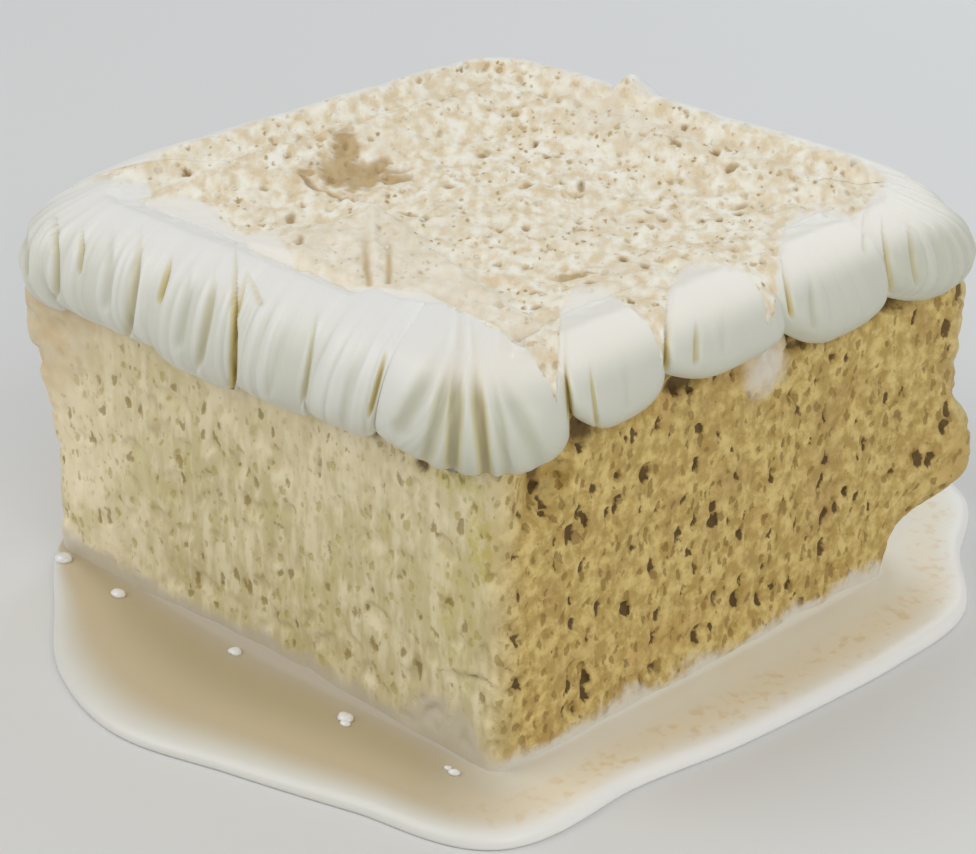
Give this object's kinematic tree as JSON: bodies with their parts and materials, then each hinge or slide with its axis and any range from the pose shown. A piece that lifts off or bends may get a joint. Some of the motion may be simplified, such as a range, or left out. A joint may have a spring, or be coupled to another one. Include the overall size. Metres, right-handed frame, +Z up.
{
  "type": "slice of tres leches cake",
  "caption": "Square slice of milk-soaked sponge with a flat cream top, a border of piped cream petals and a thin pool of milk round its foot.",
  "frame": {"origin": "middle of the sponge's flat underside, on the surface the slice stands on", "axes": "+Z up; the sponge's four sides face +X, -X, +Y and -Y, and the pictured corner is the one at +X, -Y"},
  "size_m": [0.1048, 0.1223, 0.0537],
  "materials": {
    "soaked_sponge": "open moist crumb with small pores, pale yellow-brown",
    "cream_top": "matt warm white cream, uneven, with small pits and brown specks",
    "piped_cream": "smooth satin white whipped cream with fine flutes",
    "milk": "wet glossy milk, cream to light tan"
  },
  "bodies": {
    "root": {"sponge": "soaked_sponge", "cream_top": "cream_top", "piped_border": "piped_cream", "milk_pool": "milk"}
  },
  "joints": []
}
